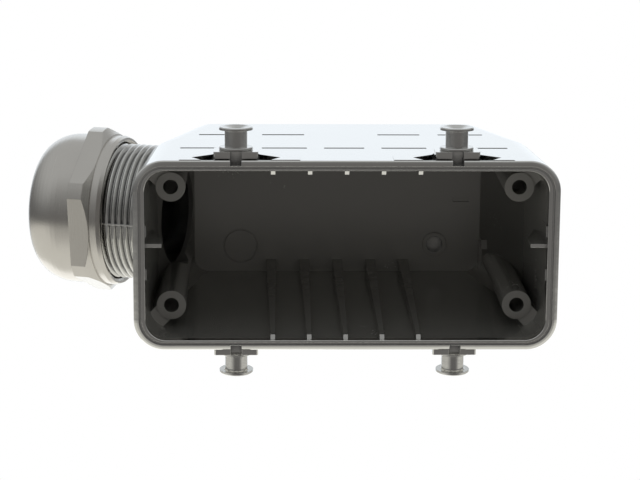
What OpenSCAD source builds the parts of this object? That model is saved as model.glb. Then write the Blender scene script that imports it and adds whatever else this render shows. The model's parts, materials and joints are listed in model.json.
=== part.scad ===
// Hood of a heavy duty rectangular connector, size 16, with a cast cable neck,
// a domed cap nut, its clamping insert and four locking pegs.
// Origin: centre of the open mouth. The mating rim lies in z = 0, the closed end is up.

/* [Hood body] */
// Length of the hood at its mating rim
hood_length = 93.4; // [90:0.2:100]
// Width of the hood at its mating rim
hood_width = 42.5; // [41:0.5:48]
// Height from the rim to the closed end
hood_height = 59.4; // [56:0.2:66]
// Height at which the end walls bend into the shoulders
crease_height = 31; // [29:0.5:33]
// Radius of the upright outer corners
corner_radius = 6.8; // [6:0.1:8]
// Thickness of the long walls at the rim
wall = 2.25; // [2:0.05:2.6]
// Thickness of the end walls
side_wall = 2.6; // [2.2:0.1:3]
// Thickness of the closed end
end_wall = 2.7; // [2.2:0.1:3.5]
// Draft of the long outer faces, in degrees
face_draft = 1.84; // [1.4:0.02:2.4]
// Draft of the end walls, in degrees
end_draft = 3; // [2:0.1:3.4]
// Lean of the two shoulders, in degrees from upright
shoulder_angle = 16.5; // [15:0.5:18]
// Rounding between the closed end and the sides
top_rounding = 2.2; // [1.5:0.1:3]

/* [Insert screw bosses] */
// Distance between the screws along the hood
screw_spacing_x = 77.5; // [77:0.1:78]
// Distance between the screws across the hood
screw_spacing_y = 27; // [26.5:0.1:27.5]
// Outer diameter of a boss
boss_diameter = 6.6; // [5.8:0.1:7]
// Core diameter of the M4 screw hole
screw_hole = 3.3; // [3:0.1:3.6]
// Depth of the boss faces behind the rim
boss_depth = 10; // [8.5:0.1:11]
// Depth of the screw hole
screw_depth = 14; // [10:1:18]

/* [Inner ribs] */
// Number of ribs on each long inner wall
rib_count = 5; // [3:1:7]
// Spacing of the ribs
rib_spacing = 8.05; // [7:0.05:9]
// Width of a rib at its front
rib_front = 1; // [0.8:0.1:1.4]
// Width of a rib at the closed end
rib_back = 2.4; // [2:0.1:3]
// How far a rib stands out of the wall at its front
rib_lead = 0.95; // [0.5:0.05:1.2]
// How far a rib stands out of the wall at the closed end
rib_height = 3; // [2:0.1:3.6]
// Length of the guide fin on each short inner wall
fin_length = 3.6; // [2.5:0.1:4.2]

/* [Grip grooves] */
// Width of a groove
groove_width = 1.3; // [0.8:0.1:1.6]
// Depth of a groove
groove_depth = 0.6; // [0.3:0.05:0.8]
// Height of the upper row of grooves
upper_row = 39.5; // [38:0.5:42]
// Height of the lower row of grooves
lower_row = 18.8; // [18.2:0.1:20]

/* [Locking pegs] */
// Distance between the two pegs of a side
peg_spacing = 48.4; // [46:0.1:50]
// Height of the peg axes above the rim
peg_height = 5.9; // [5.6:0.1:6.4]
// Diameter of the running surface
peg_diameter = 5; // [4.4:0.1:5.6]
// Diameter of both flanges
peg_flange = 7.5; // [6.8:0.1:8]
// Height of the inner flange's underside over the long face
peg_standoff = 1.7; // [1.4:0.1:2]
// Free length between the flanges
peg_gap = 3.75; // [3.4:0.05:4.4]
// Thickness of a flange
flange_thickness = 0.65; // [0.5:0.05:0.8]
// Diameter of the shank pressed into the hood
peg_shank = 4; // [3.6:0.1:4.2]
// Width of the block under a peg
block_width = 9.7; // [9.2:0.1:10.4]
// Width of the slot in the block
block_slot = 2.5; // [2:0.1:3]
// Depth of the pocket around the block
pocket_depth = 1.1; // [0.5:0.1:1.3]
// How far the flat pad stands over the long face
pad_height = 0.15; // [0.1:0.05:0.4]

/* [Cable neck] */
// Outer diameter of the neck's thread
thread_diameter = 32; // [31.5:0.1:32.4]
// Pitch of the thread
thread_pitch = 1.5; // [1.25:0.25:2]
// Length of the neck beyond the shoulder
neck_length = 15.8; // [14:0.2:17]
// Height at which the neck's axis leaves the shoulder
neck_height = 45.2; // [44.5:0.1:46]
// Bore that guides the clamping insert
neck_bore = 26.8; // [26:0.1:27.4]
// Diameter of the cable passage into the hood
passage_bore = 23.6; // [22:0.2:24.6]
// Distance between the two flats of the cast thread
thread_flats = 31.2; // [30.6:0.1:31.6]

/* [Cap nut] */
// How far the nut's collar stands off the shoulder
nut_standoff = 10.7; // [10:0.1:13]
// Width across the flats of the hexagon
nut_flats = 36.2; // [35.6:0.1:37]
// Diameter to which the hexagon's corners are turned
nut_corners = 39.8; // [39:0.1:40.6]
// Turn of the hexagon about the neck's axis, in degrees
nut_turn = 23.7; // [0:0.1:60]
// Diameter of the collar and the dome
nut_diameter = 35.6; // [35:0.1:36]
// Length of the collar before the hexagon
collar_length = 2.6; // [2:0.1:3.2]
// Length of the hexagon
hex_length = 4.8; // [4:0.1:6]
// Overall length of the nut
nut_length = 19.7; // [19:0.1:21]
// Diameter of the cable opening in the dome
nut_opening = 21.6; // [20:0.2:22.6]
// How far the nut can still be screwed on
tightening = 4; // [3:0.5:5]

/* [Clamping insert] */
// Number of clamping fingers
finger_count = 12; // [8:1:16]
// Width of the gaps between the fingers
finger_gap = 1.2; // [0.8:0.1:1.6]
// Outer diameter of the sealing sleeve
sleeve_outer = 23; // [22.4:0.1:23.4]
// Bore of the sealing sleeve
sleeve_bore = 17.5; // [15:0.5:19]

/* [Hidden] */
$fn = 96;

plating = [0.72, 0.72, 0.69];
hull_steps = 16;                    // facets in a quarter of an upright corner
run = 0.3;                          // clearance between the nut and what turns in it
slide_fit = 0.15;                   // clearance of the insert in the neck
press = 0.01;                       // bite of the peg's shank in its hole
peg_grip = 2.8;                     // length of the peg's shank in the hood
cut = 1;                            // how far a cut runs past a surface

half_x = hood_length / 2;
half_y = hood_width / 2;
inner_draft = 2.1;
inner_corner = corner_radius - wall;
rim_round = 0.6;
mouth_chamfer = 0.12;

// Half sizes of the outer body at a height
function body_y(z) = half_y - z * tan(face_draft);
function crease_x() = half_x - crease_height * tan(end_draft);
function body_x(z) = z <= crease_height ? half_x - z * tan(end_draft)
    : crease_x() - (z - crease_height) * tan(shoulder_angle);

// Half sizes of the cavity at a height
cavity_top = hood_height - end_wall;
function cavity_y(z) = half_y - wall - z * tan(inner_draft);
function cavity_x(z) = body_x(z) - side_wall / cos(z > crease_height ? shoulder_angle : 0);

// A rounded rectangle as a ring of points at height z
function ring(hx, hy, r, z) = [for (k = [0:3], i = [0:hull_steps])
    let (a = 90 * k + 90 * i / hull_steps,
         sx = k == 0 || k == 3 ? 1 : -1, sy = k < 2 ? 1 : -1)
    [sx * (hx - r) + r * cos(a), sy * (hy - r) + r * sin(a), z]];

// A closed skin over a stack of rings with the same number of points
module loft(rings) {
    n = len(rings[0]);
    m = len(rings);
    sides = [for (j = [0:m - 2], i = [0:n - 1])
        [j * n + i, (j + 1) * n + i, (j + 1) * n + (i + 1) % n, j * n + (i + 1) % n]];
    polyhedron(points = [for (r = rings) each r],
        faces = concat([[for (i = [0:n - 1]) i]], sides, [[for (i = [n - 1:-1:0]) (m - 1) * n + i]]));
}

// A four-cornered ring in the plane at height z
function quad(x0, x1, y0, y1, z) = [[x1, y1, z], [x0, y1, z], [x0, y0, z], [x1, y0, z]];

module body_outside() {
    inset = [[0, 1.05], [0.14, 0.62], [0.32, 0.22], [rim_round, 0]];
    knees = [0, 30, 60, 90];
    loft(concat(
        [for (p = inset) ring(half_x - p[1], half_y - p[1], corner_radius - p[1], p[0])],
        [ring(crease_x(), body_y(crease_height), corner_radius, crease_height)],
        [for (a = knees) let (z = hood_height - top_rounding * (1 - sin(a)), d = top_rounding * (1 - cos(a)))
            ring(body_x(z) - d, body_y(z) - d, corner_radius - d, z)]));
}

module cavity() {
    mouth = cavity_y(0);
    end = cavity_x(0);
    loft([
        ring(end + mouth_chamfer, mouth + mouth_chamfer, inner_corner + mouth_chamfer, -cut),
        ring(end + mouth_chamfer, mouth + mouth_chamfer, inner_corner + mouth_chamfer, 0),
        ring(end, mouth, inner_corner, mouth_chamfer),
        ring(cavity_x(crease_height), cavity_y(crease_height), inner_corner, crease_height),
        ring(cavity_x(cavity_top), cavity_y(cavity_top), inner_corner - 1, cavity_top)]);
}

// A shallow groove that runs all round the rim's flat
module rim_groove() {
    out = 1.2;
    in = 1.75;
    deep = 0.3;
    difference() {
        loft([for (z = [-cut, deep]) ring(half_x - out, half_y - out, corner_radius - out, z)]);
        loft([for (z = [-2 * cut, 2 * cut]) ring(half_x - in, half_y - in, corner_radius - in, z)]);
    }
}

// Places its children at the four insert screws
module at_screws() {
    for (sx = [-1, 1], sy = [-1, 1])
        translate([sx * screw_spacing_x / 2, sy * screw_spacing_y / 2, 0])
            rotate(sx * sy > 0 ? (sx > 0 ? 0 : 180) : (sx > 0 ? -90 : 90)) children();
}

// A post in each corner with a broad web to the corner wall
module boss_post() {
    web = 4.4;
    reach = norm([half_x - screw_spacing_x / 2, half_y - screw_spacing_y / 2]);
    translate([0, 0, boss_depth]) cylinder(d = boss_diameter, h = hood_height);
    rotate([90, 0, 45]) translate([0, 0, -web / 2]) linear_extrude(web)
        polygon([[0, boss_depth + 0.4], [boss_diameter / 2, boss_depth + 0.4],
                 [reach, boss_depth - 0.8], [reach, hood_height], [0, hood_height]]);
}

// A rib that widens and rises towards the closed end
module long_rib(x) {
    front = 0.8;
    nose = 0.6;
    buried = wall / 2;
    for (s = [0, 1]) mirror([0, s, 0]) loft([
        for (p = [[front, rib_front, 0.05], [front + nose, rib_front, rib_lead],
                  [cavity_top, rib_back, rib_height], [cavity_top + end_wall / 2, rib_back, rib_height]])
            quad(x - p[1] / 2, x + p[1] / 2, cavity_y(p[0]) - p[2], cavity_y(p[0]) + buried, p[0])]);
}

// The fin halfway up each short inner wall
module guide_fin() {
    thick = 0.8;
    buried = half_x - side_wall / 2;
    tip = cavity_x(0) - fin_length;
    for (s = [0, 1]) mirror([s, 0, 0]) translate([0, -2.1, 0]) rotate([90, 0, 0])
        translate([0, 0, -thick / 2]) linear_extrude(thick)
            polygon([[buried, 1.4], [tip, 1.4], [tip, 7], [cavity_x(0) - 1.2, 16], [buried, 16]]);
}

// Two low pads on each short inner wall, just behind the rim
module end_pads() {
    stand = 0.3;
    for (sx = [0, 1], y = [-6.6, 3.1]) mirror([sx, 0, 0]) translate([0, y, 0]) rotate([90, 0, 0])
        translate([0, 0, -2.5]) linear_extrude(2.5)
            polygon([[cavity_x(0) - stand, 1], [cavity_x(0) + 1, 1], [cavity_x(9) + 1, 9], [cavity_x(9), 9]]);
}

// A raised ring round a blind hole in the closed end
eye = [half_x / 2 + 0.35, half_y / 2 - 0.5, cavity_top];
module eye_ring() {
    translate(eye - [0, 0, 0.6]) cylinder(d = 5.8, h = end_wall);
}

// A step at the top of the right shoulder, with a bead that runs from it to the long wall
module shoulder_step() {
    x = cavity_x(cavity_top);
    y = 8.1;
    translate([x, y, cavity_top - 4.7]) cube([wall + 2, 2.3, 4.7 + end_wall / 2]);
    translate([x - 0.3, y + 1, cavity_top - 1.8]) cube([wall, cavity_y(cavity_top) - y, 1.8 + end_wall / 2]);
}

// Everything that is left standing in the cavity
module inner_features() {
    at_screws() boss_post();
    for (i = [0:rib_count - 1]) long_rib((i - (rib_count - 1) / 2) * rib_spacing);
    guide_fin();
    end_pads();
    eye_ring();
    shoulder_step();
}

// Puts its children on both long faces, with y = 0 on the face and +y outwards
module on_long_faces() {
    for (s = [0, 1]) mirror([0, s, 0]) translate([0, half_y, 0]) rotate([face_draft, 0, 0]) children();
}

// A prism over an outline in x and height, from y0 to y1
module face_prism(outline, y0, y1) {
    translate([0, y1, 0]) rotate([90, 0, 0]) linear_extrude(y1 - y0) polygon(outline);
}

function mirrored(outline, s) = [for (p = outline) [s * p[0], p[1]]];

peg_x = peg_spacing / 2;
pad_out = 12.3;                     // the pad's reach from the peg towards the end wall
pad_in = 14;                        // and towards the middle
pad_top = peg_height + 9.4;
pad_line = 6.2;
function pad_outline() = [[-pad_in, 1], [-pad_in, pad_line], [-pad_in + 4, pad_line], [-4.9, pad_top],
    [4.9, pad_top], [pad_out - 2.8, pad_line], [pad_out, pad_line], [pad_out, 1]];
function pocket_outline() = [[-7.6, 0.9], [-9.7, 4.4], [-5.2, 8.6], [-4, 12.6], [4, 12.6], [5.2, 8.6],
    [9.7, 4.4], [7.6, 0.9]];

module peg_pads() {
    on_long_faces() for (s = [-1, 1]) translate([s * peg_x, 0, 0])
        face_prism(mirrored(pad_outline(), s), -0.5, pad_height);
}

module peg_pockets() {
    on_long_faces() for (s = [-1, 1]) translate([s * peg_x, 0, 0])
        face_prism(mirrored(pocket_outline(), s), -pocket_depth, 2);
}

module peg_blocks() {
    back = peg_height + 4.5;
    front = peg_height - 4;
    end = peg_height - peg_shank / 2 - 0.6;
    half = block_width / 2;
    on_long_faces() for (s = [-1, 1]) translate([s * peg_x, 0, 0]) difference() {
        face_prism([[-half, front + 0.3], [0.3 - half, front], [half - 0.3, front], [half, front + 0.3],
                    [half, back - 2.5], [half - 2.5, back], [2.5 - half, back], [-half, back - 2.5]],
            -pocket_depth - 0.4, peg_standoff);
        translate([-block_slot / 2, -pocket_depth, -cut])
            cube([block_slot, 2 * peg_standoff + pocket_depth, end + cut]);
    }
}

// The slot under a peg runs out through the outer edge of the rim
module rim_slots() {
    on_long_faces() for (s = [-1, 1]) translate([s * peg_x - block_slot / 2, -pocket_depth, -cut])
        cube([block_slot, 2, 2.6 + cut]);
}

module peg_holes() {
    on_long_faces() for (s = [-1, 1]) translate([s * peg_x, peg_standoff + cut, peg_height])
        rotate([90, 0, 0]) cylinder(d = peg_shank, h = peg_grip + 0.1 + cut);
}

module grip_grooves() {
    rows = [[upper_row, [[8.6, 18.4], [22.7, 33.1]]], [lower_row, [[8.4, 18.5], [28, 36.8]]]];
    on_long_faces() {
        for (row = rows, span = row[1], s = [-1, 1])
            translate([s > 0 ? span[0] : -span[1], -groove_depth, row[0] - groove_width / 2])
                cube([span[1] - span[0], 2, groove_width]);
        translate([-4.5, -groove_depth, lower_row - groove_width / 2]) cube([9, 2, groove_width]);
    }
}

// The neck leaves the left shoulder square to it, s is measured outwards along its axis
neck_root_x = -body_x(neck_height);
module on_neck() {
    translate([neck_root_x, 0, neck_height]) rotate([0, -90 + shoulder_angle, 0]) children();
}

thread_depth = 0.61 * thread_pitch;
thread_root = thread_diameter / 2 - thread_depth;
crest = thread_pitch / 8;
turns = floor((neck_length - 0.8) / thread_pitch);
function thread_profile() = concat([[0, -6], [thread_root, -6]],
    [for (i = [0:turns - 1]) let (z = neck_length - 0.9 - (turns - i - 0.5) * thread_pitch)
        each [[thread_root, z - thread_pitch / 2 + crest / 2], [thread_diameter / 2, z - crest / 2],
              [thread_diameter / 2, z + crest / 2], [thread_root, z + thread_pitch / 2 - crest / 2]]],
    [[thread_root, neck_length - 0.5], [thread_root - 0.5, neck_length], [0, neck_length]]);

module neck_outside() {
    flash = 0.35;
    on_neck() {
        intersection() {
            rotate_extrude() polygon(thread_profile());
            translate([-thread_flats / 2, -thread_diameter, -6])
                cube([thread_flats, 2 * thread_diameter, neck_length + 6]);
        }
        translate([-thread_flats / 2 - 0.15, -flash / 2, 0]) cube([thread_flats + 0.3, flash, neck_length - 0.6]);
    }
}

module neck_inside() {
    seat = nut_standoff + cage_start - tightening - 0.2;
    on_neck() {
        translate([0, 0, -12]) cylinder(d = passage_bore, h = neck_length + 12 + cut);
        translate([0, 0, seat]) cylinder(d = neck_bore, h = neck_length);
    }
}

// A parting ring, a short slot and the blind hole of the raised ring, all in the closed end
module end_marks() {
    slot_length = 3.9;
    translate([-half_x / 2 - 0.25, half_y / 2, cavity_top]) difference() {
        translate([0, 0, -cut]) cylinder(d = 8.4, h = 0.25 + cut);
        translate([0, 0, -2 * cut]) cylinder(d = 7.8, h = 4 * cut);
    }
    translate([half_x - 18.6, -1.3, cavity_top - cut]) cube([slot_length, 0.9, 0.3 + cut]);
    translate(eye - [0, 0, cut]) cylinder(d = 4, h = 1.2 + cut);
}

module hood() {
    color(plating) difference() {
        union() {
            difference() {
                union() {
                    body_outside();
                    peg_pads();
                }
                peg_pockets();
            }
            peg_blocks();
            neck_outside();
        }
        difference() {
            cavity();
            inner_features();
        }
        grip_grooves();
        rim_groove();
        rim_slots();
        peg_holes();
        neck_inside();
        at_screws() translate([0, 0, boss_depth - cut]) cylinder(d = screw_hole, h = screw_depth + cut);
        end_marks();
    }
}

// One turned spool: shank, inner flange, running surface, outer flange with a dished end
module locking_peg() {
    tail = peg_standoff - peg_grip;
    base = peg_standoff;
    neck = base + flange_thickness;
    head = neck + peg_gap;
    top = head + flange_thickness;
    dish = 0.8;
    rotate([-90, 0, 0]) rotate_extrude() polygon([
        [0, tail], [peg_shank / 2 + press - 0.3, tail], [peg_shank / 2 + press, tail + 0.3],
        [peg_shank / 2 + press, base], [peg_flange / 2 - 0.15, base], [peg_flange / 2, base + 0.15],
        [peg_flange / 2, neck - 0.15], [peg_flange / 2 - 0.15, neck], [peg_diameter / 2, neck],
        [peg_diameter / 2, head - 0.25], [peg_diameter / 2 + 0.25, head], [peg_flange / 2, head],
        [peg_flange / 2, top - 0.2], [peg_flange / 2 - 0.2, top], [peg_flange / 2 - 0.7, top],
        [0.9, top - dish], [0.9, top - dish - 1.2], [0, top - dish - 1.6]]);
}

module peg_at(sx, sy) {
    color(plating) mirror([0, sy > 0 ? 0 : 1, 0]) translate([0, half_y, 0]) rotate([face_draft, 0, 0])
        translate([sx * peg_x, 0, peg_height]) locking_peg();
}

module peg_front_left() { peg_at(-1, -1); }
module peg_front_right() { peg_at(1, -1); }
module peg_rear_left() { peg_at(-1, 1); }
module peg_rear_right() { peg_at(1, 1); }

// Parts of the gland stand on the nut's collar plane
module on_gland() { on_neck() translate([0, 0, nut_standoff]) children(); }

dome_start = collar_length + hex_length + 3.8;
dome_length = nut_length - dome_start;
bore_r = thread_diameter / 2 + run;
cage_start = -1;
step_z = neck_length - nut_standoff + tightening + 0.1;  // step that clears the neck when home
flange_z = step_z + run;
cone_start = flange_z + 1.5;
cone_end = nut_length - 1.5;
cone_r = [neck_bore / 2 + 1.8, nut_opening / 2 + 1.6];
function dome(i) = let (a = 90 * i / 12)
    [nut_opening / 2 + 0.4 + (nut_diameter / 2 - nut_opening / 2 - 0.4) * cos(a), dome_start + dome_length * sin(a)];

module cap_nut() {
    chamfer = 1.3;
    color(plating) on_gland() {
        rotate_extrude() polygon(concat(
            [[bore_r + 0.5, 0], [bore_r + 1.1, 0], [nut_diameter / 2, 0.9], [nut_diameter / 2, dome_start]],
            [for (i = [1:12]) dome(i)],
            [[nut_opening / 2, nut_length - 0.4], [nut_opening / 2, cone_end + 0.3], [cone_r[1], cone_end],
             [cone_r[0], cone_start], [cone_r[0], step_z], [bore_r, step_z], [bore_r, 0.5]]));
        difference() {
            intersection() {
                translate([0, 0, collar_length])
                    rotate(nut_turn) cylinder(d = nut_flats / cos(30), h = hex_length, $fn = 6);
                rotate_extrude() polygon([[0, collar_length], [nut_flats / 2, collar_length],
                    [nut_corners / 2, collar_length + chamfer], [nut_corners / 2, collar_length + hex_length],
                    [0, collar_length + hex_length]]);
            }
            cylinder(d = nut_diameter - 1, h = nut_length);
        }
    }
}

finger_end = cone_end - 0.8;
cage_r = sleeve_outer / 2 + 0.05;
guide_r = neck_bore / 2 - slide_fit;
tip_r = cone_r[1] - run + (cone_r[0] - cone_r[1]) * (cone_end - finger_end) / (cone_end - cone_start);
module clamping_cage() {
    color([0.2, 0.2, 0.21]) on_gland() difference() {
        rotate_extrude() polygon([[cage_r, cage_start], [guide_r, cage_start], [guide_r, flange_z],
            [cone_r[0] - run, flange_z], [cone_r[0] - run, cone_start - 0.1], [tip_r, finger_end],
            [cage_r, finger_end]]);
        for (i = [0:finger_count - 1]) rotate(i * 360 / finger_count)
            translate([0, -finger_gap / 2, cone_start - 0.3]) cube([neck_bore, finger_gap, finger_end]);
    }
}

module sealing_sleeve() {
    lip = 1;
    r = sleeve_outer / 2;
    b = sleeve_bore / 2;
    end = finger_end - 0.8;
    color([0.1, 0.1, 0.1]) on_gland() rotate_extrude()
        polygon([[b + lip, 0], [r, 0], [r, end], [b + lip, end], [b, end - 2 * lip], [b, 2 * lip]]);
}

hood();
peg_front_left();
peg_front_right();
peg_rear_left();
peg_rear_right();
cap_nut();
clamping_cage();
sealing_sleeve();
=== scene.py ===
import json
import bpy
from mathutils import Matrix, Vector

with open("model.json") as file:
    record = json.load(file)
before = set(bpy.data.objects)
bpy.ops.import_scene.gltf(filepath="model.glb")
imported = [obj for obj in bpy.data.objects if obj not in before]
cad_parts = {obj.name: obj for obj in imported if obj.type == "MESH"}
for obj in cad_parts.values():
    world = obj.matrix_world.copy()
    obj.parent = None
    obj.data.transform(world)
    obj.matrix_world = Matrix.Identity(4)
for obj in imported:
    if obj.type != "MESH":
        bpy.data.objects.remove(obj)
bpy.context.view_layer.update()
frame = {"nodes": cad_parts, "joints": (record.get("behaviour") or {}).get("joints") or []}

# ---------------------------------------------------------------------------------------------
# Hood: one aluminium die casting, nickel plated all over and glossy where the die was polished.
# The outside mirrors its surroundings almost cleanly; the inside keeps the softer skin of the
# core, with the faint ripple that the metal leaves as it freezes. The inside's colour is painted
# darker as painted shade of the enclosed cavity, and slots, pockets and grooves get painted shade too.
# ---------------------------------------------------------------------------------------------


class Shade:
    """A socket of a shader tree. Sums, differences and products of it become Math nodes."""

    def __init__(self, tree, socket=None):
        self.tree, self.socket = tree, socket

    def node(self, kind, settings=None, inputs=None, out=0):
        """Adds a node of this kind, sets its settings first and then the values or links of its
        sockets, and returns the output asked for."""
        made = self.tree.nodes.new(kind)
        for key, value in (settings or {}).items():
            setattr(made, key, value)
        for key, value in (inputs or {}).items():
            if isinstance(value, Shade):
                self.tree.links.new(value.socket, made.inputs[key])
            else:
                made.inputs[key].default_value = value
        return Shade(self.tree, made.outputs[out])

    def math(self, operation, *values):
        return self.node("ShaderNodeMath", {"operation": operation}, dict(enumerate(values)))

    def __add__(self, other):
        return self.math("ADD", self, other)

    def __radd__(self, other):
        return self.math("ADD", other, self)

    def __sub__(self, other):
        return self.math("SUBTRACT", self, other)

    def __rsub__(self, other):
        return self.math("SUBTRACT", other, self)

    def __mul__(self, other):
        return self.math("MULTIPLY", self, other)

    def __rmul__(self, other):
        return self.math("MULTIPLY", other, self)

    def rise(self, low, high):
        """0 below low, 1 above high, and a smooth step between them."""
        return self.node("ShaderNodeMapRange", {"interpolation_type": "SMOOTHSTEP"},
                         {"Value": self, "From Min": low, "From Max": high})


def finish(name):
    """A new material with its tree, its Principled shader's node and the place on the object."""
    material = bpy.data.materials.new(name)
    material.use_nodes = True
    tree = material.node_tree
    skin = tree.nodes["Principled BSDF"]
    place = Shade(tree).node("ShaderNodeTexCoord", out="Object")
    return material, tree, skin, place


def noise(place, per_metre, detail=2.0, rough=0.5, stretch=None):
    """Noise with this many features per metre, or one number for each axis."""
    if stretch is not None:
        place = place.node("ShaderNodeVectorMath", {"operation": "MULTIPLY"}, {0: place, 1: stretch})
    inputs = {"Vector": place, "Scale": per_metre, "Detail": detail, "Roughness": rough}
    return place.node("ShaderNodeTexNoise", None, inputs, "Fac")


def blend(factor, low, high):
    """The colour that lies between low and high."""
    return factor.node("ShaderNodeMix", {"data_type": "RGBA"}, {0: factor, 6: low, 7: high}, 2)


def plug(tree, value, skin, name):
    """Links a value to the named socket of the Principled shader."""
    tree.links.new(value.socket, skin.inputs[name])


def relief(tree, skin, height, depth, edge=0.0):
    """Feeds a height through a Bump node of this depth, over edges rounded by the radius edge."""
    base = {"Height": height, "Distance": depth, "Strength": 1.0}
    if edge:
        base["Normal"] = height.node("ShaderNodeBevel", {"samples": 6}, {"Radius": edge})
    plug(tree, height.node("ShaderNodeBump", None, base), skin, "Normal")


def dress(node, material):
    """Gives a carried-over node its finish."""
    mesh = frame["nodes"][node].data
    mesh.materials.clear()
    mesh.materials.append(material)


MM = 0.001
END_LEAN, SHOULDER_LEAN, FACE_LEAN = 0.0524, 0.2962, 0.034      # slopes of the walls' middles
END_MIDDLE, SHOULDER_MIDDLE, FACE_MIDDLE = 45.4 * MM, 52.9 * MM, 20.2 * MM
CLOSED_END_MIDDLE = 58 * MM
FADE = 0.3 * MM                                                 # depth over which the inside's painted shade and softer skin fade in

casting, tree, skin, place = finish("nickel_plated_casting")
ripple = noise(place, 260.0, 2.0)
grain = noise(place, 2600.0, 3.0)
cloud = noise(place, 55.0, 3.0, 0.6)
wide, deep, high = (place.node("ShaderNodeSeparateXYZ", None, {0: place}, axis) for axis in "XYZ")
side = deep.math("MINIMUM", END_MIDDLE - END_LEAN * high, SHOULDER_MIDDLE - SHOULDER_LEAN * high)
# Inside of the hood: its darker base colour is painted shade of the enclosed cavity; its higher roughness
# is the softer skin of the core, and its lower metallic lets it take up some diffuse light.
core_skin_and_painted_shade = high.rise(1.4 * MM, 2.4 * MM) * (CLOSED_END_MIDDLE - high).rise(0.0, FADE) \
    * (FACE_MIDDLE - FACE_LEAN * high - deep.math("ABSOLUTE", deep)).rise(0.0, FADE) \
    * (side - wide.math("ABSOLUTE", wide)).rise(0.0, FADE)
# Painted shade: an ambient-occlusion mask darkens the plating's colour towards 0.20 in slots, pockets and
# grooves, where shade falls.
painted_shade_openness = place.node("ShaderNodeAmbientOcclusion", {"samples": 8, "only_local": True},
                      {"Distance": 2.5 * MM}, "AO")
plated_with_painted_shade = blend(painted_shade_openness.rise(0.3, 0.8), (0.20, 0.20, 0.20, 1), (0.70, 0.695, 0.675, 1))
plug(tree, blend(core_skin_and_painted_shade, plated_with_painted_shade, (0.34, 0.335, 0.315, 1)), skin, "Base Color")
plug(tree, 1.0 - 0.4 * core_skin_and_painted_shade, skin, "Metallic")
plug(tree, 0.08 + 0.05 * cloud + 0.03 * grain + 0.14 * core_skin_and_painted_shade, skin, "Roughness")
relief(tree, skin, ripple * 0.7 + grain * 0.08, 0.000035, 0.00012)
dress("hood", casting)

# ---------------------------------------------------------------------------------------------
# Locking pegs: four spools turned from steel bar and pressed into the cast lugs. The lever's
# hook runs between the two flanges.
# ---------------------------------------------------------------------------------------------

turned, tree, skin, place = finish("turned_steel")
skin.inputs["Metallic"].default_value = 1.0
rings = noise(place, 1.0, 2.0, stretch=(300.0, 9000.0, 300.0))
steel = blend(noise(place, 300.0), (0.56, 0.555, 0.54, 1), (0.66, 0.655, 0.64, 1))
plug(tree, steel, skin, "Base Color")
plug(tree, 0.16 + 0.08 * rings, skin, "Roughness")
relief(tree, skin, rings, 0.00001, 0.0001)
for node in ("peg_front_left", "peg_front_right", "peg_rear_left", "peg_rear_right"):
    dress(node, turned)

# ---------------------------------------------------------------------------------------------
# Sealing sleeve: a moulded rubber tube, loose in the cage until the nut presses the fingers in.
# ---------------------------------------------------------------------------------------------

rubber, tree, skin, place = finish("sleeve_rubber")
bloom = noise(place, 400.0, 4.0, 0.6)
plug(tree, blend(bloom, (0.018, 0.018, 0.019, 1), (0.035, 0.035, 0.036, 1)), skin, "Base Color")
plug(tree, 0.55 + 0.2 * bloom, skin, "Roughness")
relief(tree, skin, noise(place, 3000.0, 2.0), 0.00002)
dress("sealing_sleeve", rubber)

# ---------------------------------------------------------------------------------------------
# Clamping cage: a moulded plastic ring with twelve fingers, which slides in the neck and is
# pushed onto the sleeve by the cone in the nut.
# ---------------------------------------------------------------------------------------------

moulded, tree, skin, place = finish("cage_plastic")
mottle = noise(place, 250.0, 3.0)
plug(tree, blend(mottle, (0.03, 0.03, 0.032, 1), (0.05, 0.05, 0.053, 1)), skin, "Base Color")
plug(tree, 0.38 + 0.12 * mottle, skin, "Roughness")
relief(tree, skin, noise(place, 2500.0, 2.0), 0.000015, 0.0001)
dress("clamping_cage", moulded)

# ---------------------------------------------------------------------------------------------
# Cap nut: turned from hexagon brass bar, tumbled and nickel plated, so it is satin and slightly
# warm, with fine turning marks around its axis.
# ---------------------------------------------------------------------------------------------

gland_axis = Vector(frame["joints"][1]["axis"]).normalized()
satin, tree, skin, place = finish("satin_nickel_brass")
skin.inputs["Metallic"].default_value = 1.0
along = place.node("ShaderNodeVectorMath", {"operation": "DOT_PRODUCT"},
                   {0: place, 1: tuple(gland_axis)}, "Value")
lathe = place.node("ShaderNodeTexNoise", {"noise_dimensions": "1D"},
                   {"W": along, "Scale": 5200.0, "Detail": 3.0}, "Fac")
cloud = noise(place, 120.0, 3.0)
plug(tree, blend(cloud, (0.55, 0.53, 0.50, 1), (0.62, 0.60, 0.565, 1)), skin, "Base Color")
plug(tree, 0.18 + 0.08 * lathe + 0.05 * cloud, skin, "Roughness")
relief(tree, skin, lathe * 0.6 + noise(place, 1800.0, 3.0) * 0.4, 0.000018, 0.0002)
dress("cap_nut", satin)

# ---------------------------------------------------------------------------------------------
# Room: a plain pale floor, a white background and two soft lamps. The light that surrounds the
# part is dim from straight below, where the lens is, bluish overhead and warm beyond the part.
# ---------------------------------------------------------------------------------------------

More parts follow.
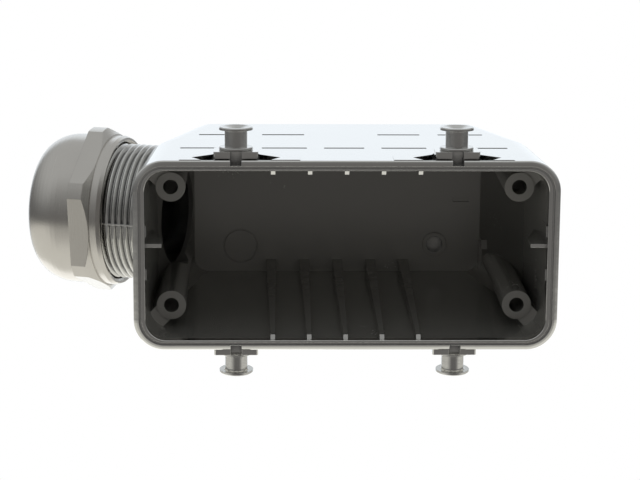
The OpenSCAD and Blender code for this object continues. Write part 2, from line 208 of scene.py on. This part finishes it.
floor_mesh = bpy.data.meshes.new("floor")
reach, level = 3.0, -0.0002
corners = [(-reach, -reach), (reach, -reach), (reach, reach), (-reach, reach)]
floor_mesh.from_pydata([(x, y, level) for x, y in corners], [], [(0, 1, 2, 3)])
floor = bpy.data.objects.new("floor", floor_mesh)
bpy.context.scene.collection.objects.link(floor)
paper, tree, skin, place = finish("floor_paper")
skin.inputs["Roughness"].default_value = 0.9
skin.inputs["Base Color"].default_value = (0.86, 0.86, 0.86, 1)
skin.inputs["Specular IOR Level"].default_value = 0.0
skin.inputs["Emission Color"].default_value = (1, 1, 1, 1)
skin.inputs["Emission Strength"].default_value = 0.25
clear = place.node("ShaderNodeBsdfTransparent")
seen_from_above = 1 - place.node("ShaderNodeNewGeometry", out="Backfacing")
seen = place.node("ShaderNodeLightPath", out="Is Camera Ray") * seen_from_above
sheet = place.node("ShaderNodeMixShader", None, {0: seen, 1: clear, 2: Shade(tree, skin.outputs[0])})
tree.links.new(sheet.socket, tree.nodes["Material Output"].inputs["Surface"])
floor_mesh.materials.append(paper)

world = bpy.data.worlds.new("surround")
bpy.context.scene.world = world
world.use_nodes = True
tree = world.node_tree
sky = Shade(tree)
direction = sky.node("ShaderNodeTexCoord", out="Generated")
across = sky.node("ShaderNodeSeparateXYZ", None, {0: direction}, "Y")
height = sky.node("ShaderNodeSeparateXYZ", None, {0: direction}, "Z")
sideways = sky.node("ShaderNodeSeparateXYZ", None, {0: direction}, "X")
light = blend((-1 * across).rise(-0.25, 0.7), (0.13, 0.13, 0.13, 1), (0.56, 0.57, 0.57, 1))
light = blend(across.rise(0.2, 0.32), light, (0.86, 0.85, 0.79, 1))
light = blend(height.rise(0.75, 0.93), light, (0.83, 0.89, 0.95, 1))
below = (-1 * height).rise(0.35, 0.85) * (1 - 0.5 * (-1 * sideways).rise(0.2, 0.7))
light = blend(below, light, (0.17, 0.165, 0.16, 1))
direct = sky.node("ShaderNodeLightPath", out="Is Camera Ray")
tree.links.new(blend(direct, light, (1, 1, 1, 1)).socket, tree.nodes["Background"].inputs["Color"])
tree.nodes["Background"].inputs["Strength"].default_value = 1.0

aim = Vector((0, 0, 0.03))
for name, spot, size, watts in (("key", (-0.25, 0.7, 0.7), 0.7, 0.9), ("top", (0.1, -0.1, 1.1), 1.3, 1.1)):
    lamp = bpy.data.lights.new(name, "AREA")
    lamp.size, lamp.energy = size, watts
    holder = bpy.data.objects.new(name, lamp)
    holder.location = spot
    holder.visible_camera = False
    holder.rotation_euler = (aim - Vector(spot)).to_track_quat("-Z", "Y").to_euler()
    bpy.context.scene.collection.objects.link(holder)

# Camera: in front of the open mouth and a little above the hood's front side
lens = bpy.data.cameras.new("camera")
lens.lens, lens.sensor_width = 127.24, 36.0
camera = bpy.data.objects.new("camera", lens)
forward = Vector((0.02815, 0.22191, 0.97466)).normalized()
up = Vector((-0.00011, -0.97505, 0.22200))
right = forward.cross(up).normalized()
up = right.cross(forward)
camera.matrix_world = Matrix.Translation(Vector((-19.75, -113.37, -481.53)) * MM) @ Matrix(
    (right, up, -forward)).transposed().to_4x4()
bpy.context.scene.collection.objects.link(camera)
bpy.context.scene.camera = camera
bpy.context.scene.view_settings.view_transform = "Standard"
